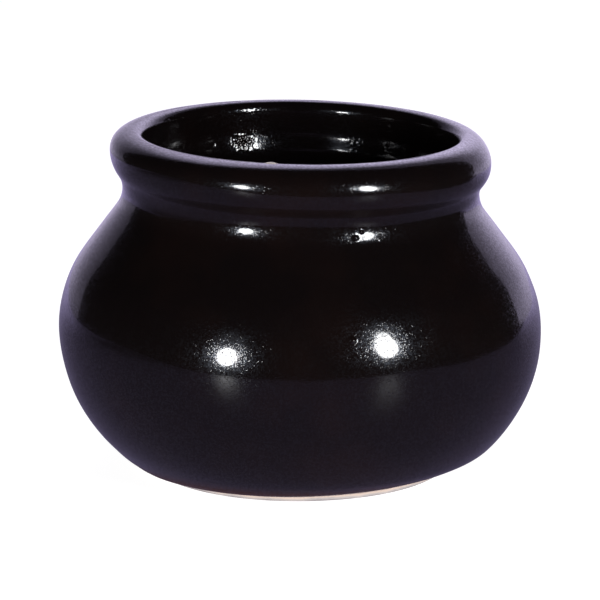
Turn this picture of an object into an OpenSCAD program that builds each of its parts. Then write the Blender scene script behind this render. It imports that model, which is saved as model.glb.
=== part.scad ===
// Ceramic flower pot: a squat, round-bellied clay pot with a thick rolled rim,
// glazed black inside and out, standing on a foot of bare clay.
// Millimetres, +Z up, with the origin on the floor in the middle of the foot.
// Every section is a chain of arcs that run smoothly into each other,
// turned once round the pot's own axis.

/* [Belly] */
// Diameter of the widest ring of the belly, over the glaze
belly_d = 300; // [270:1:340]
// Height of the widest ring above the floor
belly_z = 86.5; // [75:0.5:100]
// How round the shoulder is: near 0 it is a straight cone, at 1 it is all curve
shoulder_round = 0.45; // [0.25:0.01:0.9]
// How much longer the curve under the belly is than the heel curve below it
belly_share = 2.6; // [1.4:0.1:4]
// Height of the whole pot
pot_h = 209.5; // [195:0.5:230]

/* [Foot] */
// Diameter of the foot where it meets the floor
foot_d = 187; // [160:1:210]
// Height of the upright side of the foot
foot_h = 3; // [1.5:0.5:8]
// How far the side of the foot leans out over its height
foot_flare = 1; // [0:0.25:2]
// Angle at which the belly leaves the foot, measured from level, in degrees
heel_lean = 9; // [4:1:25]
// Width of the ring that the pot stands on
ring_w = 14; // [8:1:30]
// Depth of the hollow inside that ring
recess_h = 2.5; // [1:0.5:5]

/* [Neck and rim] */
// Diameter of the mouth, over the glaze
mouth_d = 192; // [175:0.5:215]
// Radius of the roll, from its crest out to the rim's widest ring
roll_r = 15; // [11:0.5:18]
// Width of the lip, from the mouth out to the crest of the roll
lip_w = 6; // [5.25:0.25:8]
// Radius of the tight turn just inside the crest
lip_r = 5.5; // [3:0.25:5.75]
// How far the tight turn goes before the lip eases into the mouth, in degrees
lip_turn = 45; // [30:5:60]
// How far the neck is drawn in behind the rim's widest ring
neck_in = 7.25; // [4:0.25:9]
// How far the neck's narrowest ring lies below the rim's widest ring
neck_drop = 23; // [18:0.5:28]
// Radius of the hollow of the neck
neck_r = 18; // [16:0.5:28]

/* [Inside] */
// Thickness of the belly's wall
wall = 10; // [7:0.5:14]
// Thickness of the floor over the hollow of the foot
floor_t = 10.5; // [7:0.5:16]
// How far the floor falls towards the drain hole
floor_fall = 1; // [0.5:0.25:3]
// How far the throat stands in from the mouth
throat_in = 2.25; // [0.5:0.25:4]
// Radius of the swelling of the throat above its tightest ring
throat_r = 48; // [30:1:60]
// Radius of the swelling of the throat below its tightest ring
under_throat_r = 24; // [16:1:32]
// Radius of the hollow between the throat and the straight of the mouth
throat_ease = 38; // [12:1:48]

/* [Drain hole] */
// Diameter of the drain hole in the middle of the floor
drain_d = 20; // [12:1:32]
// Chamfer on both edges of the drain hole
drain_ease = 1; // [0.5:0.25:2]

/* [Glaze] */
// Thickness of the glaze
glaze_t = 0.6; // [0.4:0.1:1.2]
// Height above the foot's upright side at which the outer glaze ends
bare_h = 1; // [0.5:0.25:6]
// Width of the bare ring round the drain hole
drain_bare = 2; // [1:0.5:6]

/* [Hidden] */
clay_colour = [0.90, 0.78, 0.70];
glaze_colour = [0.06, 0.05, 0.055];
around = 144;   // sides of a full turn
arc_step = 5;   // greatest turn between two points of an arc, in degrees

// A point at an angle on a circle, and the points of an arc from one angle to another
function on(c, r, a) = c + r * [cos(a), sin(a)];
function arc(c, r, from, to) =
    let (n = max(2, ceil(abs(to - from) / arc_step)))
    [for (i = [0:n]) on(c, r, from + (to - from) * i / n)];
function backwards(points) = [for (i = [len(points) - 1:-1:0]) points[i]];

// A bowl runs from an upright ring down and in to a ring where its face leans by an angle
// from level, as a wide arc and a tight one. Gives the wide arc's turn, centre and radius,
// then the tight arc's centre and radius
function bowl(top, bottom, lean) =
    let (run = bottom - top, down = [0, -1], in = [-cos(lean), -sin(lean)],
         b = run * (belly_share * down + in), k = 2 * belly_share * (1 - down * in),
         reach = (sqrt(b * b + k * (run * run)) - b) / k,
         across = top + down * belly_share * reach - (bottom - in * reach),
         turn = atan2(across[0], across[1]),
         wide = belly_share * reach / tan(turn / 2),
         tight = reach / tan((90 - lean - turn) / 2),
         wide_c = top - [wide, 0])
    [turn, wide_c, wide, wide_c + (wide - tight) * [cos(turn), -sin(turn)], tight];

// A shoulder runs from an upright ring up and in to another, as an arc, a straight and a
// hollow. Gives how far the straight leans from upright, then the arc's centre and radius
function shoulder(low, high, hollow) =
    let (run = high - low, lean = (1 + shoulder_round) * atan2(-run[0], run[1]),
         r = (run[1] * sin(lean) + run[0] * cos(lean)) / (1 - cos(lean)) - hollow)
    [lean, low - [r, 0], r];

// Belly and shoulder, outside
belly = [belly_d / 2, belly_z];
foot_top = [foot_d / 2 + foot_flare, foot_h];
rim_c = [mouth_d / 2 + lip_w, pot_h - roll_r];
rim = rim_c + [roll_r, 0];
neck = rim - [neck_in, neck_drop];
under = bowl(belly, foot_top, heel_lean);
under_turn = under[0];
under_c = under[1];
under_r = under[2];
heel_c = under[3];
heel_r = under[4];
over = shoulder(belly, neck, neck_r);
over_lean = over[0];
over_c = over[1];
over_r = over[2];

// Neck: its hollow turns back out into the underside of the roll
neck_c = neck + [neck_r, 0];
neck_sum = (neck_in * neck_in + neck_drop * neck_drop) / (2 * neck_in);
neck_turn = asin(neck_drop / neck_sum);
under_roll_r = neck_sum - neck_r;
under_roll_c = rim - [under_roll_r, 0];

// Belly and shoulder, inside: the wall is even at the widest ring and at the floor
floor_z = recess_h + floor_t;
hollow_belly = belly - [wall, 0];
floor_edge = [foot_top[0] - wall, floor_z];
throat = [mouth_d / 2 - throat_in, neck[1]];
hollow_under = bowl(hollow_belly, floor_edge, 0);
hollow_turn = hollow_under[0];
hollow_under_c = hollow_under[1];
hollow_under_r = hollow_under[2];
hollow_heel_c = hollow_under[3];
hollow_heel_r = hollow_under[4];
hollow_over = shoulder(hollow_belly, throat, under_throat_r);
hollow_lean = hollow_over[0];
hollow_over_c = hollow_over[1];
hollow_over_r = hollow_over[2];

// Mouth: the crest eases into the lip, and the throat swells below it
lip_c = [rim_c[0], pot_h - lip_r];
lip_ease = (lip_w - lip_r * sin(lip_turn)) / (1 - sin(lip_turn));
lip_ease_c = lip_c + (lip_ease - lip_r) * [sin(lip_turn), -cos(lip_turn)];
under_throat_c = throat + [under_throat_r, 0];
throat_c = throat + [throat_r, 0];
throat_sum = throat_r + throat_ease;
throat_turn = acos(1 - throat_in / throat_sum);
throat_ease_c = throat_c + throat_sum * [-cos(throat_turn), sin(throat_turn)];

// Glaze edges, and the floor that falls to the drain hole
glaze_from = asin((foot_h + bare_h - heel_c[1]) / heel_r);
hole_r = drain_d / 2;
glaze_hole_r = hole_r + drain_bare;
function floor_at(r) = floor_z - floor_fall * (floor_edge[0] - r) / (floor_edge[0] - hole_r);

// The outside from the glaze's lower edge up to the crest, a depth under the glaze's face
function outside(depth) = concat(
    arc(heel_c, heel_r - depth, glaze_from, -under_turn),
    arc(under_c, under_r - depth, -under_turn, 0),
    arc(over_c, over_r - depth, 0, over_lean),
    arc(neck_c, neck_r + depth, 180 + over_lean, 180 - neck_turn),
    arc(under_roll_c, under_roll_r - depth, -neck_turn, 0),
    arc(rim_c, roll_r - depth, 0, 90));

// The inside from the crest down to the floor's outer edge, a depth under the glaze's face
function inside(depth) = concat(
    arc(lip_c, lip_r - depth, 90, 90 + lip_turn),
    arc(lip_ease_c, lip_ease - depth, 90 + lip_turn, 180),
    arc(throat_ease_c, throat_ease + depth, 0, -throat_turn),
    arc(throat_c, throat_r - depth, 180 - throat_turn, 180),
    arc(under_throat_c, under_throat_r - depth, 180, 180 + hollow_lean),
    arc(hollow_over_c, hollow_over_r + depth, hollow_lean, 0),
    arc(hollow_under_c, hollow_under_r + depth, 0, -hollow_turn),
    arc(hollow_heel_c, hollow_heel_r + depth, -hollow_turn, -90));

// Fired clay: foot, belly, neck and rolled rim in one piece
module clay_body() {
    hole_top = floor_at(hole_r) - glaze_t;
    ring_in = foot_d / 2 - ring_w;
    color(clay_colour) rotate_extrude($fn = around) polygon(concat(
        [[foot_d / 2, 0]],
        arc(heel_c, heel_r - glaze_t, heel_lean - 90, glaze_from),
        outside(glaze_t),
        inside(glaze_t),
        [[hole_r + drain_ease, hole_top],
         [hole_r, hole_top - drain_ease],
         [hole_r, recess_h + drain_ease],
         [hole_r + drain_ease, recess_h],
         [ring_in - recess_h, recess_h],
         [ring_in, 0]]));
}

// Coat of glaze from the crest of the rim down the outside to the bare foot
module outer_glaze() {
    color(glaze_colour) rotate_extrude($fn = around) polygon(concat(
        outside(0),
        backwards(outside(glaze_t))));
}

// Coat of glaze from the crest of the rim down the inside to the drain hole
module inner_glaze() {
    hole_edge = floor_at(glaze_hole_r);
    color(glaze_colour) rotate_extrude($fn = around) polygon(concat(
        inside(0),
        [[glaze_hole_r, hole_edge], [glaze_hole_r, hole_edge - glaze_t]],
        backwards(inside(glaze_t))));
}

clay_body();
outer_glaze();
inner_glaze();
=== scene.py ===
# %% [markdown]
# A glazed flower pot is a simple thing with a rich surface: one piece of turned clay, dipped
# in black gloss glaze inside and out, standing on a bare foot. This lesson dresses a finished
# solid model of such a pot. The solids are loaded first and never moved, and every mesh made
# here takes its outline and its place from them.

# %% Load the solids of the pot
import math
from bisect import bisect

import bmesh
import bpy
from mathutils import Matrix, Vector, noise


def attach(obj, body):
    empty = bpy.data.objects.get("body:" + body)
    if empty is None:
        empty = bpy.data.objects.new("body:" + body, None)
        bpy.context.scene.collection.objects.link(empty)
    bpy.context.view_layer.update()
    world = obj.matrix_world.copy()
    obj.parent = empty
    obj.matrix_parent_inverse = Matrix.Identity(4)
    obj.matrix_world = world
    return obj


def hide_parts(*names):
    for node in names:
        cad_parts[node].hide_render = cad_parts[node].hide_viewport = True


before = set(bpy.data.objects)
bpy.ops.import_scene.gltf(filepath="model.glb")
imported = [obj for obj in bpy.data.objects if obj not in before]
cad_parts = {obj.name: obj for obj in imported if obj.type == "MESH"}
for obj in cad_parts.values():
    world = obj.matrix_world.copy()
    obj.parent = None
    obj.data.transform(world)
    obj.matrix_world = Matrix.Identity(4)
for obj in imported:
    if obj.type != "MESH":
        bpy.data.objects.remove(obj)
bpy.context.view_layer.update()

# %% [markdown]
# The camera comes first, because it says how large a millimetre is in the picture. The pot was
# taken with a long lens from a little above. A long lens keeps the mouth a narrow ellipse and
# the sides of the belly true, so the camera stands far off and sees only a small angle.

# %% Camera
MM = 0.001
camera_elevation = math.radians(13.87)
camera_distance = 2.2
camera_aim = Vector((0, 0, 102.3 * MM))
picture_px = 600
focal_px = 3533.6


def make_camera():
    """The camera in front of the pot, looking a little down at it."""
    data = bpy.data.cameras.new("camera")
    data.lens = focal_px / picture_px * data.sensor_width
    camera = bpy.data.objects.new("camera", data)
    bpy.context.scene.collection.objects.link(camera)
    back = Vector((0, -math.cos(camera_elevation), math.sin(camera_elevation)))
    camera.location = camera_aim + camera_distance * back
    camera.rotation_euler = (-back).to_track_quat("-Z", "Y").to_euler()
    bpy.context.scene.camera = camera


make_camera()
bpy.context.scene.view_settings.view_transform = "Standard"
print("a millimetre at the pot's axis is", round(focal_px / camera_distance * MM, 2), "px")

# %% [markdown]
# Every piece of the pot is turned, so each one is an outline spun round the axis. The outline
# could be typed in again, but then it could drift from the solid. It is cut from the solid
# instead: a copy of its mesh is bisected along the half plane through +X, and what is left is
# a closed loop of edges. Walking round that loop gives its points in order.

# %% Cut the outline out of a turned solid
weld = 0.001 * MM


def outline_of(node):
    """The closed outline of a turned solid, as points (radius, 0, height) in order."""
    bm = bmesh.new()
    bm.from_mesh(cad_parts[node].data)
    bmesh.ops.remove_doubles(bm, verts=bm.verts, dist=weld)
    bmesh.ops.bisect_plane(
        bm, geom=bm.verts[:] + bm.edges[:] + bm.faces[:], dist=weld,
        plane_co=(0, 0, 0), plane_no=(0, 1, 0), clear_inner=True, clear_outer=True)
    bmesh.ops.delete(bm, geom=[v for v in bm.verts if v.co.x < 0], context="VERTS")
    start = max(bm.verts, key=lambda v: v.co.z)
    points, last, here = [], None, start
    while not points or here is not start:
        points.append(here.co.copy())
        following = [e.other_vert(here) for e in here.link_edges]
        step = following[0] if following[0] is not last else following[1]
        last, here = here, step
    bm.free()
    return points


outlines = {node: outline_of(node) for node in sorted(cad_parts)}
for node, points in outlines.items():
    print(node, "outline has", len(points), "points")

# %% [markdown]
# A coat of glaze has a face that is seen and a back that lies on the clay. Its outline starts
# at the crest, its highest point, and the face ends where the coat stops: at the lowest point
# on the outside of the pot, and beside the drain hole on the inside. The two ways round the
# loop between those points are the face and the back, and the face is the one with no extra
# corners in it.

# %% Split a coat's outline into its face and its back
# beside the drain hole the coat has two points at one radius, and its face ends at the upper one
radius_weight = 10


def split_outline(points, is_end):
    """The face from the crest to the coat's end, and the back from that end to the crest."""
    end = points.index(max(points, key=is_end))
    one = points[:end + 1]
    other = [points[0]] + points[:end - 1:-1]
    face, back = sorted((one, other), key=len)
    return face, back[::-1][1:-1]


outside_face, outside_back = split_outline(outlines["outer_glaze"], lambda p: -p.z)
inside_face, inside_back = split_outline(outlines["inner_glaze"], lambda p: p.z - radius_weight * p.x)
glaze_thickness = (outside_face[0] - outside_back[-1]).length
print("face points outside and inside:", len(outside_face), len(inside_face))
print("glaze thickness in mm:", round(glaze_thickness / MM, 2))

# %% [markdown]
# The solid's outline has a point every few degrees, and gloss shows each flat between them. So
# a smooth curve is laid through the points: each stretch between two of them becomes a Bezier
# piece whose handles follow the points on either side. The curve is asked for a point by its
# length from the crest, so rows can be put where they are wanted, and a point that is added
# later finds its place on the same curve.

# %% Lay a smooth curve through a face


def tangents(points):
    """The unit direction of a smooth curve at each of its points."""
    found = []
    for i, here in enumerate(points):
        before = points[max(i - 1, 0)]
        after = points[min(i + 1, len(points) - 1)]
        a, b = here - before, after - here
        # the arc through three points leaves the middle one along this weighted sum
        way = a * b.length / max(a.length, weld) + b * a.length / max(b.length, weld)
        found.append((way if 0 < i < len(points) - 1 else after - before).normalized())
    return found


class Curve:
    """A smooth curve through points, measured along its length."""

    def __init__(self, points):
        self.points = points
        self.ways = tangents(points)
        self.runs = [0.0]
        for before, after in zip(points, points[1:]):
            self.runs.append(self.runs[-1] + (after - before).length)
        self.length = self.runs[-1]

    def at(self, run):
        """The point at a length along the curve, and the direction of the curve there."""
        i = min(max(bisect(self.runs, run) - 1, 0), len(self.points) - 2)
        stretch = self.runs[i + 1] - self.runs[i]
        t = (run - self.runs[i]) / stretch
        start, end = self.points[i], self.points[i + 1]
        near = start + self.ways[i] * stretch / 3
        far = end - self.ways[i + 1] * stretch / 3
        s = 1 - t
        point = s * s * s * start + 3 * s * s * t * near + 3 * s * t * t * far + t * t * t * end
        way = s * s * (near - start) + 2 * s * t * (far - near) + t * t * (end - far)
        return point, way.normalized()


outside_curve = Curve(outside_face)
inside_curve = Curve(inside_face)
print("length of the faces in mm:",
      round(outside_curve.length / MM, 1), round(inside_curve.length / MM, 1))

# %% [markdown]
# The rows of the mesh lie about two millimetres apart, and closer where the outline has points
# closer together, in its tight turns. Deep inside the pot, where only a little light comes,
# they are twice as far apart. A coat's face also gets a row right beside the crest, where the
# normals of its last flat would otherwise show as a seam in the gloss, and a few close rows at
# its end, where the glaze thins out to a rounded edge.

# %% Choose the rows of a face
row_step = 2.2 * MM
deep_row_step = 4.5 * MM
deep_from = 60 * MM
crest_row = 0.1 * MM
crest_gap = 0.3 * MM
end_rows = (0.12 * MM, 0.35 * MM, 0.7 * MM, 1.1 * MM)


def rows_of(curve, fine_until):
    """The lengths along a face at which it has a row of points."""
    rows = [0.0]
    for before, after in zip(curve.runs, curve.runs[1:]):
        step = row_step if before < fine_until else deep_row_step
        steps = math.ceil((after - before) / step)
        rows += [before + (after - before) * (k + 1) / steps for k in range(steps)]
    last = curve.length - end_rows[-1]
    kept = [run for run in rows if crest_gap < run < last - crest_gap]
    return [0.0, crest_row] + kept + [curve.length - gap for gap in end_rows[::-1]] + [curve.length]


outside_rows = rows_of(outside_curve, outside_curve.length)
inside_rows = rows_of(inside_curve, deep_from)
print("rows outside and inside:", len(outside_rows), len(inside_rows))

# %% [markdown]
# A spin costs more with every step it has taken, so only a quarter of the coat is spun. Two
# mirrors make the rest, and they merge the points where the quarters meet. The coat is one
# closed shell: its face in fine rows, and its back in the few rows of the solid's own outline,
# because nobody sees it. Each point keeps in a layer how far along the face it lies.

# %% Spin a quarter and mirror it
columns = 384
CM3 = 1e-6
on_back = -1.0
on_back_end = -2.0


def spin_round(bm, steps):
    """Spins the outline in a bmesh a full turn, as one quarter and its mirror images."""
    bmesh.ops.spin(
        bm, geom=bm.verts[:] + bm.edges[:], cent=(0, 0, 0), axis=(0, 0, 1), dvec=(0, 0, 0),
        angle=math.pi / 2, steps=steps // 4, use_merge=False, use_duplicate=False)
    for axis in ("X", "Y"):
        bmesh.ops.mirror(
            bm, geom=bm.verts[:] + bm.edges[:] + bm.faces[:], matrix=Matrix.Identity(4),
            merge_dist=weld, axis=axis)
    bmesh.ops.remove_doubles(bm, verts=bm.verts, dist=weld)
    bmesh.ops.recalc_face_normals(bm, faces=bm.faces)


def spin_coat(curve, rows, back):
    """A bmesh of a closed coat, with each point's length along the face in the layer run."""
    bm = bmesh.new()
    run_layer = bm.verts.layers.float.new("run")
    ring = []
    for run in rows:
        vert = bm.verts.new(curve.at(run)[0])
        vert[run_layer] = run
        ring.append(vert)
    for point in back:
        vert = bm.verts.new(point)
        vert[run_layer] = on_back_end if point is back[0] else on_back
        ring.append(vert)
    for i, vert in enumerate(ring):
        bm.edges.new((vert, ring[i - 1]))
    spin_round(bm, columns)
    return bm


outside_bm = spin_coat(outside_curve, outside_rows, outside_back)
inside_bm = spin_coat(inside_curve, inside_rows, inside_back)
for name, bm in (("outside", outside_bm), ("inside", inside_bm)):
    print(name, "coat:", len(bm.faces), "faces, volume in cm3", round(bm.calc_volume() / CM3, 1))

# %% [markdown]
# The clay is spun from its whole outline. The foot of a fired pot has no knife edges, because
# the potter runs a wet sponge over them, so every edge with a real corner gets a small bevel.

# %% Spin the clay
clay_columns = columns // 2
foot_round = 0.7 * MM
corner = math.radians(25)


def spin_clay():
    """The clay body, with its corners rounded."""
    bm = bmesh.new()
    ring = [bm.verts.new(point) for point in outlines["clay_body"]]
    for i, vert in enumerate(ring):
        bm.edges.new((vert, ring[i - 1]))
    spin_round(bm, clay_columns)
    bm.normal_update()
    corners = [e for e in bm.edges if e.calc_face_angle(0) > corner]
    bmesh.ops.bevel(
        bm, geom=corners, offset=foot_round, offset_type="OFFSET", segments=3, profile=0.5,
        affect="EDGES", clamp_overlap=True, material=-1)
    print("rounded", len(corners) // clay_columns, "corners of the clay's outline")
    return bm


clay_bm = spin_clay()
print("clay:", len(clay_bm.faces), "faces, volume in cm3", round(clay_bm.calc_volume() / CM3, 1))

# %% [markdown]
# A dipped coat isn't flawless. Here and there a bubble has left a bead or a pit, and a patch
# where sand or clay dust lay under the glaze stays pebbled. Each is a small smooth swelling of
# the face, placed by its angle round the pot from the camera's side and by its height. They
# are real shape, not bump in the material, so they also show in the mesh.

# %% Where the face has beads, pits and pebbled patches
UP = Vector((0, 0, 1))
place_step = 0.1 * MM


def outward_at(azimuth):
    """The level direction at an angle round the pot, in degrees from the camera's side."""
    angle = math.radians(azimuth)
    return Vector((math.sin(angle), -math.cos(angle), 0))


def spot(curve, azimuth, height, across, up, rise, pebble=0.0):
    """A flaw: its place on the face, half sizes, rise and pebbles, in degrees and millimetres."""
    steps = round(curve.length / place_step)
    places = [curve.at(curve.length * k / steps)[0] for k in range(steps)]
    point = min(places, key=lambda place: abs(place.z - height * MM))
    outward = outward_at(azimuth)
    return {
        "middle": outward * point.x + UP * point.z, "along": UP.cross(outward),
        "across": across * MM, "up": up * MM, "rise": rise * MM, "pebble": pebble * MM}


outside_spots = [
    spot(outside_curve, 12.3, 113.3, 2.8, 2.8, 0.95),
    spot(outside_curve, 18.8, 170.4, 1.7, 1.7, 0.7),
    spot(outside_curve, 16.8, 166.9, 2.6, 2.4, 0.6),
    spot(outside_curve, 24.6, 165.3, 1.0, 1.0, 0.3),
    spot(outside_curve, -56.2, 209.3, 1.3, 1.3, -0.4)]
inside_spots = [
    spot(inside_curve, 203.0, 183.5, 12.0, 9.0, 0.0, 0.75),
    spot(inside_curve, 158.0, 184.5, 9.0, 7.0, 0.0, 0.25),
    spot(inside_curve, 201.0, 205.0, 13.0, 3.0, 0.0, 0.16),
    spot(inside_curve, 221.8, 201.1, 2.6, 1.6, 0.35, 0.2),
    spot(inside_curve, 215.3, 183.3, 1.4, 2.6, 0.3, 0.1),
    spot(inside_curve, 143.9, 200.4, 3.0, 1.6, 0.35, 0.2),
    spot(inside_curve, 125.7, 202.0, 3.2, 1.4, 0.35, 0.1),
    spot(inside_curve, 123.9, 199.5, 2.4, 1.3, 0.3, 0.1),
    spot(inside_curve, 144.5, 184.0, 6.0, 8.0, 0.0, 0.35),
    spot(inside_curve, 237.1, 204.8, 4.5, 1.2, 0.25, 0.1),
    spot(inside_curve, 124.4, 186.4, 1.6, 1.6, 0.35)]
print("flaws outside and inside:", len(outside_spots), len(inside_spots))

# %% [markdown]
# The mesh is too coarse for a bead of two millimetres. Cutting every face finer would cost
# millions of faces, so only the faces round each flaw are cut. The new points lie on flats, so
# each one is then laid on the curve by its own length along the face.

# %% Cut the faces round the flaws finer
bead_cuts = 3
patch_cuts = 2
patch_from = 5 * MM


def lay_on_curve(vert, curve, run_layer):
    """Puts a point of a face at its place on the turned form."""
    outward = Vector((vert.co.x, vert.co.y, 0)).normalized()
    point = curve.at(vert[run_layer])[0]
    vert.co = outward * point.x + UP * point.z


def refine(bm, spots, curve):
    """Cuts the faces round each flaw finer, without leaving the turned form."""
    run_layer = bm.verts.layers.float["run"]
    for flaw in spots:
        reach = max(flaw["across"], flaw["up"]) + row_step
        near = {v for v in bm.verts
                if v[run_layer] >= 0 and (v.co - flaw["middle"]).length < reach}
        edges = [e for e in bm.edges if e.verts[0] in near and e.verts[1] in near]
        cuts = patch_cuts if flaw["across"] > patch_from else bead_cuts
        cut = bmesh.ops.subdivide_edges(bm, edges=edges, cuts=cuts, use_grid_fill=True)
        for vert in {v for v in cut["geom_inner"] if isinstance(v, bmesh.types.BMVert)}:
            lay_on_curve(vert, curve, run_layer)


refine(outside_bm, outside_spots, outside_curve)
refine(inside_bm, inside_spots, inside_curve)
print("faces with the fine patches:", len(outside_bm.faces), len(inside_bm.faces))

# %% [markdown]
# On the near side of the lip a nub of clay stands through the glaze, where a crumb stuck to
# the wet rim. It belongs to the clay, so it is raised out of the clay's own mesh, high enough
# to break through the coat, and the glaze closes round it by itself.

# %% Raise the nub of clay
nub_azimuth = -9.6
nub_half_length = 7.0 * MM
nub_half_width = 2.4 * MM
nub_in = 1.0 * MM
nub_rise = 1.45 * MM
nub_cuts = 3


def raise_nub(bm):
    """Lifts a long low nub out of the crest of the clay."""
    crest = max(outlines["clay_body"], key=lambda point: point.z)
    outward = outward_at(nub_azimuth)
    along = UP.cross(outward)
    middle = outward * (crest.x - nub_in) + UP * crest.z
    near = {v for v in bm.verts if (v.co - middle).length < nub_half_length + 2 * row_step}
    edges = [e for e in bm.edges if e.verts[0] in near and e.verts[1] in near]
    bmesh.ops.subdivide_edges(bm, edges=edges, cuts=nub_cuts, use_grid_fill=True)
    bm.normal_update()
    for vert in bm.verts:
        away = vert.co - middle
        length = away.dot(along)
        width = (away - along * length).length
        share = 1 - (length / nub_half_length) ** 2 - (width / nub_half_width) ** 2
        if share > 0:
            vert.co += vert.normal * nub_rise * share * share


raise_nub(clay_bm)

# %% [markdown]
# No hand-made pot is a perfect turned form. This one leans: seen from the camera, its rings lie
# a little higher on the left, and most of all at the rim, and only round the heel do they lie
# higher on the right. The foot reaches further out on its left, the heel is tallest at the
# front, and the shoulder and the rim are a little fuller, most of all on the right. The wall
# swells, draws in and sways aside by a few tenths of a millimetre. One function moves any point
# of any piece in the same way.

# %% How the turned form is uneven
# heights between which the slope of the rings grows, and by how much, as a share of the width
lean_steps = (
    (1.5 * MM, 4 * MM, -0.016), (3 * MM, 17.5 * MM, 0.024), (45 * MM, 85 * MM, 0.001),
    (118 * MM, 198 * MM, 0.0245), (198 * MM, 214 * MM, -0.018))
swell, swell_size = 0.35 * MM, 90 * MM
sway, sway_size, sway_peak = 0.42 * MM, 85 * MM, 172 * MM
foot_shift = 1.8 * MM
belly_shift = 0.4 * MM
shoulder_shift, shoulder_swell = 0.35 * MM, 0.85 * MM
rim_shift, rim_swell = 0.5 * MM, 0.5 * MM
front_rise = 0.6 * MM
# where each of these sets in, as a stretch of heights, of radii or of places across the pot,
# with a second stretch where it fades out again
swell_from = (5 * MM, 40 * MM)
sway_from = (95 * MM, 120 * MM)
foot_height = (4 * MM, 9 * MM)
foot_radius = (40 * MM, 70 * MM)
foot_side = (-30 * MM, 60 * MM)
belly_height = (4 * MM, 9 * MM, 60 * MM, 90 * MM)
shoulder_height = (112 * MM, 138 * MM, 166 * MM, 180 * MM)
rim_from = (178 * MM, 190 * MM)
front_side = (20 * MM, 90 * MM)
front_height = (1.5 * MM, 4 * MM, 8 * MM, 25 * MM)


def ease(value, start, end):
    """0 below start, 1 above end and a smooth step between them."""
    share = min(max((value - start) / (end - start), 0), 1)
    return share * share * (3 - 2 * share)


def in_and_out(value, start, full, fade, end):
    """0 outside a stretch, 1 in its middle and a smooth step at either side."""
    return ease(value, start, full) * (1 - ease(value, fade, end))


def ring_slope(height):
    """How much a ring at this height slopes down to the right."""
    return sum(amount * ease(height, start, end) for start, end, amount in lean_steps)


def uneven(point):
    """Where a point of the perfect form lies on the real pot."""
    radius = math.hypot(point.x, point.y)
    outward = Vector((point.x, point.y, 0)).normalized()
    shoulder = in_and_out(point.z, *shoulder_height)
    rim = ease(point.z, *rim_from)
    wider = swell * ease(point.z, *swell_from) * noise.noise(point / swell_size)
    wider += shoulder_swell * shoulder + rim_swell * rim
    wave = math.cos(2 * math.pi * (point.z - sway_peak) / sway_size)
    aside = sway * wave * ease(point.z, *sway_from)
    foot_aside = foot_shift * (1 - ease(point.x, *foot_side))
    aside -= foot_aside * (1 - ease(point.z, *foot_height)) * ease(radius, *foot_radius)
    aside += shoulder_shift * shoulder + rim_shift * rim
    aside += belly_shift * in_and_out(point.z, *belly_height)
    up = front_rise * ease(-point.y, *front_side) * in_and_out(point.z, *front_height)
    return point + outward * wider + Vector((aside, 0, up - point.x * ring_slope(point.z)))


rim_height = 194 * MM
rim_width = 2 * max(point.x for point in outlines["outer_glaze"] if point.z > rim_height)
print("the rim is", round(ring_slope(rim_height) * rim_width / MM, 1), "mm higher on its left")

# %% [markdown]
# The face of the glaze has its own life on top of that: it flowed in the kiln, so it lies in
# slight waves and its end wanders, and on the outside it thins out there to a rounded lip. A
# point's place is worked out afresh: first where it is along the face, with the end drawn up or
# down, then how far it stands out or sinks in there. The same pass notes how near the end each
# point is, because thin glaze breaks to brown.

# %% Settle a coat of glaze
# the size and the depth of the long waves and of the short ones
wave_kinds = ((25 * MM, 0.09 * MM), (10 * MM, 0.014 * MM))
wander = 0.8 * MM
wander_size = 30 * MM
wander_reach = 14 * MM
edge_round = 1.1 * MM
edge_fall = 0.95
thin_reach = 26 * MM
pebble_size = 1.5 * MM


def flaw_rise(flaw, point):
    """How far a flaw lifts the face at a point."""
    away = point - flaw["middle"]
    along = away.dot(flaw["along"])
    rest = math.sqrt(max(away.length_squared - along * along, 0))
    inside_it = 1 - (along / flaw["across"]) ** 2 - (rest / flaw["up"]) ** 2
    if inside_it <= 0:
        return 0.0
    pebbles = flaw["pebble"] * noise.noise(point / pebble_size)
    return (flaw["rise"] + pebbles) * inside_it * inside_it


def settle_coat(bm, curve, spots, side):
    """Moves the points of a coat to where the real glaze has them. Side is 1 or -1."""
    run_layer = bm.verts.layers.float["run"]
    thin_layer = bm.verts.layers.float.new("thin")
    for vert in bm.verts:
        if vert[run_layer] == on_back:
            vert.co = uneven(vert.co)
            continue
        at_back = vert[run_layer] == on_back_end
        run = curve.length if at_back else vert[run_layer]
        outward = Vector((vert.co.x, vert.co.y, 0)).normalized()
        drawn = wander * noise.noise(outward * curve.points[-1].x / wander_size)
        place = run + drawn * ease(run, curve.length - wander_reach, curve.length)
        flat_point, way = curve.at(place)
        point = outward * flat_point.x + UP * flat_point.z
        look = (outward * -way.z + UP * way.x) * side
        out = sum(depth * noise.noise(point / size) for size, depth in wave_kinds)
        out += sum(flaw_rise(flaw, point) for flaw in spots)
        to_end = curve.length - run
        if at_back:
            out = -glaze_thickness
        elif to_end < edge_round:
            fall = 1 - math.sqrt(max(1 - (1 - to_end / edge_round) ** 2, 0))
            out -= edge_fall * glaze_thickness * fall
        vert[thin_layer] = 1 - ease(to_end, 0, thin_reach)
        vert.co = uneven(point + look * out)
    bm.verts.layers.float.remove(run_layer)


settle_coat(outside_bm, outside_curve, outside_spots, 1)
# A fault that was found too late to mend: the inner coat needs a side of -1. As it is, its
# beads are dents, and by the drain hole its end turns up by the glaze's thickness.
settle_coat(inside_bm, inside_curve, inside_spots, 1)
for vert in clay_bm.verts:
    vert.co = uneven(vert.co)
print("highest point in mm:", round(max(v.co.z for v in outside_bm.verts) / MM, 2))

# %% [markdown]
# The materials are built from a few small helpers, each of which adds one or two nodes.
# Everything is patterned on Object coordinates, which run through the pot in metres, so a
# pattern has the same scale on every piece and no seam anywhere.

# %% Helpers for the materials


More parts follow.
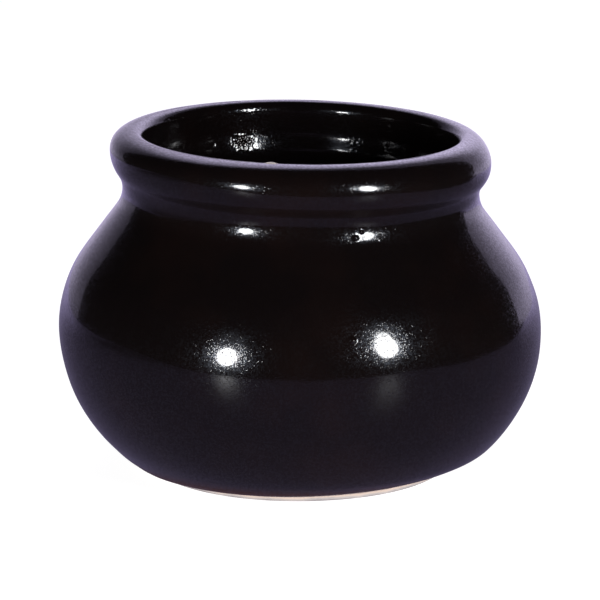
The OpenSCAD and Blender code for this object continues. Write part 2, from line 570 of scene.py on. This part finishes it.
def new_material(name):
    """An empty node material: its tree and its main shader."""
    material = bpy.data.materials.new(name)
    material.use_nodes = True
    tree = material.node_tree
    return material, tree, tree.nodes["Principled BSDF"]


def add_place(tree):
    """The place of a point on its own piece, in metres."""
    return tree.nodes.new("ShaderNodeTexCoord").outputs["Object"]


def add_noise(tree, size, detail=2.0):
    """Noise of about one feature per size."""
    texture = tree.nodes.new("ShaderNodeTexNoise")
    texture.inputs["Scale"].default_value = 1 / size
    texture.inputs["Detail"].default_value = detail
    tree.links.new(add_place(tree), texture.inputs["Vector"])
    return texture.outputs["Fac"]


def add_cells(tree, size):
    """The distance to the nearest of many scattered points, as a share of size."""
    texture = tree.nodes.new("ShaderNodeTexVoronoi")
    texture.inputs["Scale"].default_value = 1 / size
    tree.links.new(add_place(tree), texture.inputs["Vector"])
    return texture.outputs["Distance"]


def add_range(tree, value, from_min, from_max, to_min, to_max, kind="LINEAR"):
    """Maps a value from one range to another."""
    node = tree.nodes.new("ShaderNodeMapRange")
    node.interpolation_type = kind
    tree.links.new(value, node.inputs["Value"])
    node.inputs["From Min"].default_value = from_min
    node.inputs["From Max"].default_value = from_max
    node.inputs["To Min"].default_value = to_min
    node.inputs["To Max"].default_value = to_max
    return node.outputs["Result"]


def add_math(tree, operation, one, other):
    """Two values added, multiplied or the like."""
    node = tree.nodes.new("ShaderNodeMath")
    node.operation = operation
    for socket, value in zip(node.inputs, (one, other)):
        if isinstance(value, (int, float)):
            socket.default_value = value
        else:
            tree.links.new(value, socket)
    return node.outputs["Value"]


def add_mix(tree, share, one, other):
    """A colour between two others."""
    node = tree.nodes.new("ShaderNodeMix")
    node.data_type = "RGBA"
    colours = [socket for socket in node.inputs if socket.type == "RGBA"]
    tree.links.new(share, node.inputs["Factor"])
    for socket, value in zip(colours, (one, other)):
        if isinstance(value, tuple):
            socket.default_value = value + (1,)
        else:
            tree.links.new(value, socket)
    return next(socket for socket in node.outputs if socket.type == "RGBA")


def add_bump(tree, height, depth, below=None):
    """Bump of a depth in metres, on top of another bump if there is one."""
    node = tree.nodes.new("ShaderNodeBump")
    node.inputs["Distance"].default_value = depth
    tree.links.new(height, node.inputs["Height"])
    if below is not None:
        tree.links.new(below, node.inputs["Normal"])
    return node.outputs["Normal"]


print("material helpers are ready")

# %% [markdown]
# The glaze is glass over dark clay slip: nearly black, with a warm cast. Two things give it
# away as glaze and not paint. Its face mirrors sharply, yet a lamp's image has a mottled haze
# round it, so a sharp clear coat lies over a rougher gloss that comes and goes in flecks. And
# it is full of tiny pits, each of which catches the lamp by itself, so the image frays into
# sparks at its edge. The pits are cells whose middles are pressed in: shallow dimples all
# over, and deeper pits whose depth changes from patch to patch. They lie on slight waves and
# ripples. Where the coat thins out towards its end it loses its gloss and breaks to brown.

# %% Black gloss glaze
black = (0.0044, 0.0029, 0.0030)
brown = (0.050, 0.018, 0.010)
haze_tint = (0.74, 0.84, 1.0)
glass_ior = 1.5
coat_roughness = 0.05
# for each pattern its size, the stretch of it that counts, and what that stretch becomes
cloud_size, cloud_from, cloud_warmth = 45 * MM, (0.45, 0.75), (0, 0.05)
fleck_size, fleck_from, fleck_gloss = 1.3 * MM, (0.45, 0.62), (0.01, 0.22)
haze_size, haze_from, haze_roughness = 9 * MM, (0.3, 0.7), (0.19, 0.25)
thin_from, thin_gloss = (0.10, 0.45), (1, 0.15)
pit_patch_size, pit_patch_from, pit_patch_share = 3 * MM, (0.36, 0.64), (0.1, 1)
# for each bump its size and depth, and for hollows how wide they are as a share of the size
wave_size, wave_depth = 6 * MM, 0.010 * MM
ripple_size, ripple_depth = 2.2 * MM, 0.006 * MM
dimple_size, dimple_reach, dimple_depth = 0.9 * MM, 0.45, 0.012 * MM
pit_size, pit_reach, pit_depth = 1.2 * MM, 0.40, 0.048 * MM


def add_hollows(tree, size, reach):
    """Round hollows, scattered one to a size: -1 in the middle and 0 at the reach."""
    return add_range(tree, add_cells(tree, size), 0, reach, -1, 0, "SMOOTHSTEP")


def make_glaze():
    """Black gloss glaze, which thins to brown at its end."""
    material, tree, shader = new_material("black_glaze")
    thin = tree.nodes.new("ShaderNodeAttribute")
    thin.attribute_name = "thin"
    cloud = add_range(tree, add_noise(tree, cloud_size), *cloud_from, *cloud_warmth)
    warm = add_math(tree, "ADD", cloud, thin.outputs["Fac"])
    tree.links.new(add_mix(tree, warm, black, brown), shader.inputs["Base Color"])
    shader.inputs["IOR"].default_value = glass_ior
    flecks = add_range(tree, add_noise(tree, fleck_size, detail=1.0), *fleck_from, *fleck_gloss)
    tree.links.new(flecks, shader.inputs["Specular IOR Level"])
    shader.inputs["Specular Tint"].default_value = haze_tint + (1,)
    haze = add_range(tree, add_noise(tree, haze_size), *haze_from, *haze_roughness)
    tree.links.new(haze, shader.inputs["Roughness"])
    gloss = add_range(tree, thin.outputs["Fac"], *thin_from, *thin_gloss)
    tree.links.new(gloss, shader.inputs["Coat Weight"])
    shader.inputs["Coat Roughness"].default_value = coat_roughness
    shader.inputs["Coat IOR"].default_value = glass_ior
    waves = add_bump(tree, add_noise(tree, wave_size), wave_depth)
    ripples = add_bump(tree, add_noise(tree, ripple_size, detail=0.0), ripple_depth, waves)
    dimples = add_bump(
        tree, add_hollows(tree, dimple_size, dimple_reach), dimple_depth, ripples)
    patches = add_range(
        tree, add_noise(tree, pit_patch_size), *pit_patch_from, *pit_patch_share)
    pitted = add_math(tree, "MULTIPLY", add_hollows(tree, pit_size, pit_reach), patches)
    pits = add_bump(tree, pitted, pit_depth, dimples)
    tree.links.new(pits, shader.inputs["Normal"])
    tree.links.new(pits, shader.inputs["Coat Normal"])
    return material


black_glaze = make_glaze()
print("glaze nodes:", len(black_glaze.node_tree.nodes))

# %% [markdown]
# The bare foot is pale fired clay, pinkish in itself. Towards the ground it is painted darker, pale
# grey and then grey where it meets the ground: painted shade. Right under the glaze a line of
# red-brown shows where the glaze soaked in. So its colour is layered by height, and noise shifts the
# borders of the layers. Higher up, only the nub on the lip is bare, and it is cream.

# %% Bare fired clay
peach = (0.76, 0.62, 0.54)
# pale grey and grey are painted shade, darkest where the foot meets the ground
low_shade_grey = (0.52, 0.47, 0.46)
contact_shade_grey = (0.30, 0.27, 0.28)
soaked = (0.16, 0.07, 0.05)
cream = (0.80, 0.72, 0.66)
# the heights over which each layer gives way to the next
contact_shade_end = (0.3 * MM, 1.2 * MM)
low_shade_end = (1.6 * MM, 2.4 * MM)
peach_end = (3.5 * MM, 4.2 * MM)
soaked_end = (20 * MM, 30 * MM)
border_size, border_from, border_shift = 14 * MM, (0.3, 0.7), (-0.7 * MM, 0.7 * MM)
grit_size, grit_depth = 0.6 * MM, 0.06 * MM
clay_roughness = 0.8
clay_ior = 1.4


def make_clay():
    """Bare fired clay, layered by height."""
    material, tree, shader = new_material("bare_clay")
    split = tree.nodes.new("ShaderNodeSeparateXYZ")
    tree.links.new(add_place(tree), split.inputs["Vector"])
    shift = add_range(
        tree, add_noise(tree, border_size, detail=4.0), *border_from, *border_shift)
    height = add_math(tree, "ADD", split.outputs["Z"], shift)
    # painted shade: the foot turns pale grey low down and grey where it meets the ground
    colour = add_mix(tree, add_range(tree, height, *low_shade_end, 0, 1), low_shade_grey, peach)
    colour = add_mix(tree, add_range(tree, height, *contact_shade_end, 0, 1), contact_shade_grey, colour)
    colour = add_mix(tree, add_range(tree, height, *peach_end, 0, 1), colour, soaked)
    colour = add_mix(tree, add_range(tree, height, *soaked_end, 0, 1), colour, cream)
    tree.links.new(colour, shader.inputs["Base Color"])
    shader.inputs["Roughness"].default_value = clay_roughness
    shader.inputs["IOR"].default_value = clay_ior
    grit = add_bump(tree, add_noise(tree, grit_size, detail=3.0), grit_depth)
    tree.links.new(grit, shader.inputs["Normal"])
    return material


bare_clay = make_clay()
print("clay nodes:", len(bare_clay.node_tree.nodes))

# %% [markdown]
# Each bmesh now becomes an object. It stays at the origin with its place in its mesh, rides on the
# pot's one body, and stands for one solid.

# %% Store the pieces
crease = math.radians(40)


def make_piece(name, bm, material, node):
    """Stores a bmesh as a smooth piece that rides on the pot and stands for a solid."""
    mesh = bpy.data.meshes.new(name)
    bm.to_mesh(mesh)
    bm.free()
    mesh.polygons.foreach_set("use_smooth", [True] * len(mesh.polygons))
    mesh.set_sharp_from_angle(angle=crease)
    mesh.materials.append(material)
    piece = bpy.data.objects.new(name, mesh)
    bpy.context.scene.collection.objects.link(piece)
    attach(piece, "root")
    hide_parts(node)
    mesh.calc_loop_triangles()
    print(name, "has", len(mesh.loop_triangles), "triangles")


make_piece("glaze_outside", outside_bm, black_glaze, "outer_glaze")
make_piece("glaze_inside", inside_bm, black_glaze, "inner_glaze")
make_piece("turned_clay", clay_bm, bare_clay, "clay_body")

# %% [markdown]
# A black gloss pot is seen by what it mirrors, so the room round it matters as much as the pot. Four
# things show in it: a bright backdrop behind, whose image runs down both sides of the belly and along
# the rim; a table, which the gloss sees glowing grey with a violet cast as painted shade, whose image
# fills the lower half of the belly and ends in a line where the table ends; the dark room in front;
# and two lamps, left and right of the camera.

# %% Helpers for the stage


def stage_piece(name, bm, material):
    """Stores a bmesh as a piece of the stage."""
    mesh = bpy.data.meshes.new(name)
    bm.to_mesh(mesh)
    bm.free()
    mesh.materials.append(material)
    piece = bpy.data.objects.new(name, mesh)
    bpy.context.scene.collection.objects.link(piece)
    return piece


def add_glow(tree, colour):
    """A plain glow of a colour."""
    glow = tree.nodes.new("ShaderNodeEmission")
    glow.inputs["Color"].default_value = colour + (1,)
    return glow


def new_glow(name, colour):
    """A material that glows as strongly as the mesh's own attribute glow says."""
    material = bpy.data.materials.new(name)
    material.use_nodes = True
    tree = material.node_tree
    tree.nodes.remove(tree.nodes["Principled BSDF"])
    glow = add_glow(tree, colour)
    kept = tree.nodes.new("ShaderNodeAttribute")
    kept.attribute_name = "glow"
    tree.links.new(kept.outputs["Fac"], glow.inputs["Strength"])
    tree.links.new(glow.outputs[0], tree.nodes["Material Output"].inputs["Surface"])
    return material


print("stage helpers are ready")

# %% [markdown]
# The backdrop glows by itself, because only its image in the glaze is wanted, and it is hidden
# from the camera, so that it doesn't stand in the way when the pot is looked at from another
# side. A sheet of paper behind a pot is never lit evenly: here a leaning pool of light lies on
# it over the pot, the table throws some light back on its foot, and it fades out to its left
# and its top. The sheet flares out where it meets the table. The glow is worked out for each
# point of a grid and kept as an attribute.

# %% Backdrop
backdrop_colour = (1.12, 1.0, 1.42)
backdrop_y = 1.0
backdrop_left, backdrop_right = -1.12, 1.30
foot_flare = 0.22
flare_top = 0.70
backdrop_top = 4.0
edge_share = 0.37
left_full = -0.12
top_full = 2.3
plain_glow = 0.22
pool_glow = 1.5
pool_x, pool_z = -0.13, 1.43
pool_lean = math.radians(34)
pool_width, pool_height = 0.56, 1.15
bounce_glow = 0.55
bounce_height = 0.42
foot_shade = 0.15
grid_step = 0.05


def backdrop_glow(x, z):
    """How brightly the backdrop glows at a place on it."""
    along = (x - pool_x) * math.cos(pool_lean) + (z - pool_z) * math.sin(pool_lean)
    up = (z - pool_z) * math.cos(pool_lean) - (x - pool_x) * math.sin(pool_lean)
    away = (along / pool_width) ** 2 + (up / pool_height) ** 2
    pool = pool_glow * math.exp(-away * away)
    bounce = bounce_glow * math.exp(-z / bounce_height) * ease(z, -foot_shade, foot_shade)
    from_left = edge_share + (1 - edge_share) * ease(x, backdrop_left, left_full)
    return (plain_glow + pool + bounce) * from_left * (1 - ease(z, top_full, backdrop_top))


def make_backdrop():
    """A glowing sheet behind the pot that only the gloss sees."""
    material = new_glow("backdrop_paper", backdrop_colour)
    width = backdrop_right - backdrop_left
    bm = bmesh.new()
    bmesh.ops.create_grid(
        bm, x_segments=round(width / grid_step), y_segments=round(backdrop_top / grid_step), size=0.5)
    glow_layer = bm.verts.layers.float.new("glow")
    for vert in bm.verts:
        z = (vert.co.y + 0.5) * backdrop_top
        flare = 1 + 2 * foot_flare / width * (1 - ease(z, 0, flare_top))
        x = (backdrop_left + backdrop_right) / 2 + vert.co.x * width * flare
        vert.co = (x, backdrop_y, z)
        vert[glow_layer] = backdrop_glow(x, z)
    sheet = stage_piece("backdrop", bm, material)
    sheet.visible_camera = False


make_backdrop()
print("the backdrop glows from", round(backdrop_glow(-1, 1), 2), "to",
      round(backdrop_glow(pool_x, pool_z), 2))

# %% [markdown]
# The floor has two sides to it. The camera, and the light that the pot's clay gathers, see a white
# floor that keeps the pot's shadow. The gloss sees instead a table with its edges, which glows grey
# as painted shade and is dimmer towards its left. Towards its far side the table glows more, a
# painted reflection of the backdrop, and a weak gloss lets the lamps smear a soft patch of light on
# it. Light Path's Is Glossy Ray tells the two apart in one material.

# %% Floor
# the table glows grey as painted shade; it grows brighter to the back as a painted reflection of the
# backdrop
table_shade_glow = (0.094, 0.080, 0.145)
table_front, table_back = -0.70, 1.0
table_left, table_right = -1.5, 0.80
table_left_fade, table_left_glow = 1.1, 0.3
table_turns_at = 0.4
table_turn = 0.75
table_gloss = 0.32
table_shine = 0.02
far_from, far_reflection_gain = 0.2, 4.5
white_glow = 0.95
paper_white = 0.35
floor_reach = 6.0
room_glow = 0.004


def add_table(tree):
    """The glossy table, glowing grey as painted shade, and black beyond its edges."""
    split = tree.nodes.new("ShaderNodeSeparateXYZ")
    tree.links.new(add_place(tree), split.inputs["Vector"])
    x, y = split.outputs["X"], split.outputs["Y"]
    on_table = add_math(tree, "GREATER_THAN", y, table_front)
    on_table = add_math(tree, "MULTIPLY", on_table, add_math(tree, "LESS_THAN", y, table_back))
    beyond_turn = add_math(tree, "MAXIMUM", add_math(tree, "SUBTRACT", y, table_turns_at), 0)
    edge_x = add_math(tree, "ADD", add_math(tree, "MULTIPLY", beyond_turn, table_turn), table_right)
    on_table = add_math(tree, "MULTIPLY", on_table, add_math(tree, "LESS_THAN", x, edge_x))
    table = tree.nodes.new("ShaderNodeBsdfPrincipled")
    table.inputs["Base Color"].default_value = (0, 0, 0, 1)
    table.inputs["Roughness"].default_value = table_gloss
    # the grey glow is painted shade, dimmer to the left and brighter to the back as a painted
    # reflection of the backdrop
    table.inputs["Emission Color"].default_value = table_shade_glow + (1,)
    table.inputs["Specular IOR Level"].default_value = table_shine
    full_from = table_left + table_left_fade
    from_left = add_range(tree, x, table_left, full_from, table_left_glow, 1, "SMOOTHSTEP")
    to_back = add_range(tree, y, far_from, table_back, 1, far_reflection_gain, "SMOOTHSTEP")
    tree.links.new(add_math(tree, "MULTIPLY", from_left, to_back), table.inputs["Emission Strength"])
    beyond = add_glow(tree, (0.0, 0.0, 0.0))
    mix = tree.nodes.new("ShaderNodeMixShader")
    tree.links.new(on_table, mix.inputs[0])
    tree.links.new(beyond.outputs[0], mix.inputs[1])
    tree.links.new(table.outputs[0], mix.inputs[2])
    return mix


def make_floor():
    """A white floor for the camera, which is a table glowing grey in painted shade for the gloss."""
    material = bpy.data.materials.new("floor")
    material.use_nodes = True
    tree = material.node_tree
    tree.nodes.remove(tree.nodes["Principled BSDF"])
    white = add_glow(tree, (1.0, 1.0, 1.0))
    white.inputs["Strength"].default_value = white_glow
    paper = tree.nodes.new("ShaderNodeBsdfDiffuse")
    paper.inputs["Color"].default_value = (paper_white, paper_white, paper_white, 1)
    white_floor = tree.nodes.new("ShaderNodeAddShader")
    tree.links.new(white.outputs[0], white_floor.inputs[0])
    tree.links.new(paper.outputs[0], white_floor.inputs[1])
    path = tree.nodes.new("ShaderNodeLightPath")
    mix = tree.nodes.new("ShaderNodeMixShader")
    tree.links.new(path.outputs["Is Glossy Ray"], mix.inputs[0])
    tree.links.new(white_floor.outputs[0], mix.inputs[1])
    tree.links.new(add_table(tree).outputs[0], mix.inputs[2])
    tree.links.new(mix.outputs[0], tree.nodes["Material Output"].inputs["Surface"])
    bm = bmesh.new()
    bmesh.ops.create_grid(bm, x_segments=1, y_segments=1, size=floor_reach)
    stage_piece("floor", bm, material)


def make_world():
    """White for the camera, and a dark room for everything else."""
    world = bpy.data.worlds.new("studio")
    bpy.context.scene.world = world
    world.use_nodes = True
    tree = world.node_tree
    path = tree.nodes.new("ShaderNodeLightPath")
    strength = add_range(tree, path.outputs["Is Camera Ray"], 0, 1, room_glow, 1.0)
    background = tree.nodes["Background"]
    tree.links.new(strength, background.inputs["Strength"])
    background.inputs["Color"].default_value = (1, 1, 1, 1)


make_floor()
make_world()
print("table from", table_front, "m in front of the pot to", table_back, "m behind it")

# %% [markdown]
# The lamps are two soft boxes. Their places come from where their images lie in the glaze: the
# normal of the belly there is halfway between the way to the camera and the way to the lamp.
# A soft box is never even: its middle is hot, and its cloth glows weaker and weaker towards
# the edge, which gives each highlight its halo. So each is a small bright oval lamp with a
# glowing sheet right behind it. They are just bright enough that a white thing in the pot's
# place would come out about white.

# %% Lamps
lamp_distance = 1.6
cloth_gap = 0.02
cloth_half_width, cloth_half_height = 0.36, 0.56
cloth_glow = 1.6
cloth_reach, cloth_sharpness = 0.5, 1.2
cloth_fade = 0.7
cloth_colour = (0.90, 0.97, 1.12)
cloth_cells = 24


def make_lamp(name, place, turn, width, height, radiance):
    """The hot middle of a soft box: an oval lamp."""
    data = bpy.data.lights.new(name, "AREA")
    data.shape = "ELLIPSE"
    data.size = width
    data.size_y = height
    area = math.pi * width * height / 4
    data.energy = radiance * math.pi * area
    lamp = bpy.data.objects.new(name, data)
    bpy.context.scene.collection.objects.link(lamp)
    lamp.location = place
    lamp.rotation_euler = turn.to_euler()
    card = radiance * area / lamp_distance ** 2 / math.pi
    print(name, "lights a white card that faces it to", round(card, 2))


def make_cloth(name, place, turn):
    """The cloth of a soft box: a sheet that glows weaker towards its edge."""
    material = new_glow(name, cloth_colour)
    bm = bmesh.new()
    bmesh.ops.create_grid(bm, x_segments=cloth_cells, y_segments=cloth_cells, size=1)
    glow_layer = bm.verts.layers.float.new("glow")
    for vert in bm.verts:
        away = math.hypot(vert.co.x, vert.co.y)
        middle = math.exp(-(away / cloth_reach) ** cloth_sharpness)
        vert[glow_layer] = cloth_glow * middle * (1 - ease(away, cloth_fade, 1))
        flat = Vector((vert.co.x * cloth_half_width, vert.co.y * cloth_half_height, 0))
        vert.co = place + turn @ flat
    sheet = stage_piece(name, bm, material)
    sheet.visible_camera = False


def make_soft_box(name, azimuth, elevation, width, height, radiance):
    """A soft box that looks at the pot. Azimuth is from the camera's side, to the right."""
    a, e = math.radians(azimuth), math.radians(elevation)
    way = Vector((math.sin(a) * math.cos(e), -math.cos(a) * math.cos(e), math.sin(e)))
    turn = (-way).to_track_quat("-Z", "Y")
    make_lamp(name, camera_aim + way * lamp_distance, turn, width, height, radiance)
    make_cloth(name + "_cloth", camera_aim + way * (lamp_distance + cloth_gap), turn)


make_soft_box("lamp_left", azimuth=-32.6, elevation=8.0, width=0.25, height=0.38, radiance=38)
make_soft_box("lamp_right", azimuth=40.3, elevation=16.0, width=0.31, height=0.53, radiance=32)
